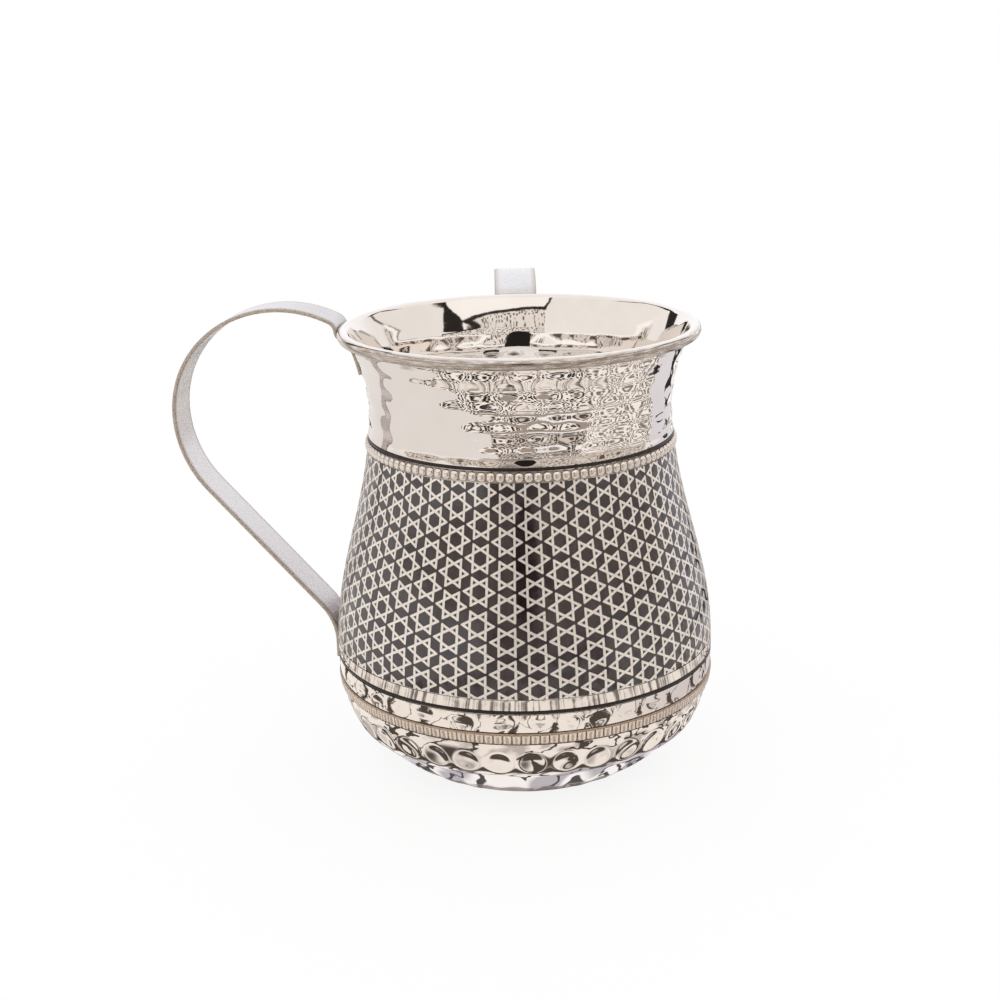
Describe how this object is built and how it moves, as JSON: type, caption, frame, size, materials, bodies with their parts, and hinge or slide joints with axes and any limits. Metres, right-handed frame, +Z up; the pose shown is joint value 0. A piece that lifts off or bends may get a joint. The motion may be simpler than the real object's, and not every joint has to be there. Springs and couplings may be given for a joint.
{
  "type": "two-handled ritual washing cup",
  "caption": "Hammered steel washing cup with a rolled rim, a dark six-pointed-star lattice band and two strip handles.",
  "frame": {"origin": "middle of the flat base, on the cup's axis, on the surface it stands on", "axes": "+Z up along the cup's axis to the mouth, +Y to the rear handle, -X nearly to the side handle"},
  "size_m": [0.1716, 0.1719, 0.1463],
  "materials": {
    "cup_steel": "mirror-polished hammered stainless steel",
    "dark_enamel": "dark brown-grey gloss enamel",
    "pearl_trim": "satin, toned in the gaps between the pearls",
    "milled_trim": "matt, toned brown",
    "handle_steel": "satin faces with matt cut edges"
  },
  "bodies": {
    "root": {"cup_body": "cup_steel", "star_field_enamel": "dark_enamel", "upper_enamel_line": "dark_enamel", "lower_enamel_line": "dark_enamel", "upper_pearl_ring": "pearl_trim", "lower_milled_ring": "milled_trim", "side_handle": "handle_steel", "rear_handle": "handle_steel"}
  },
  "joints": []
}
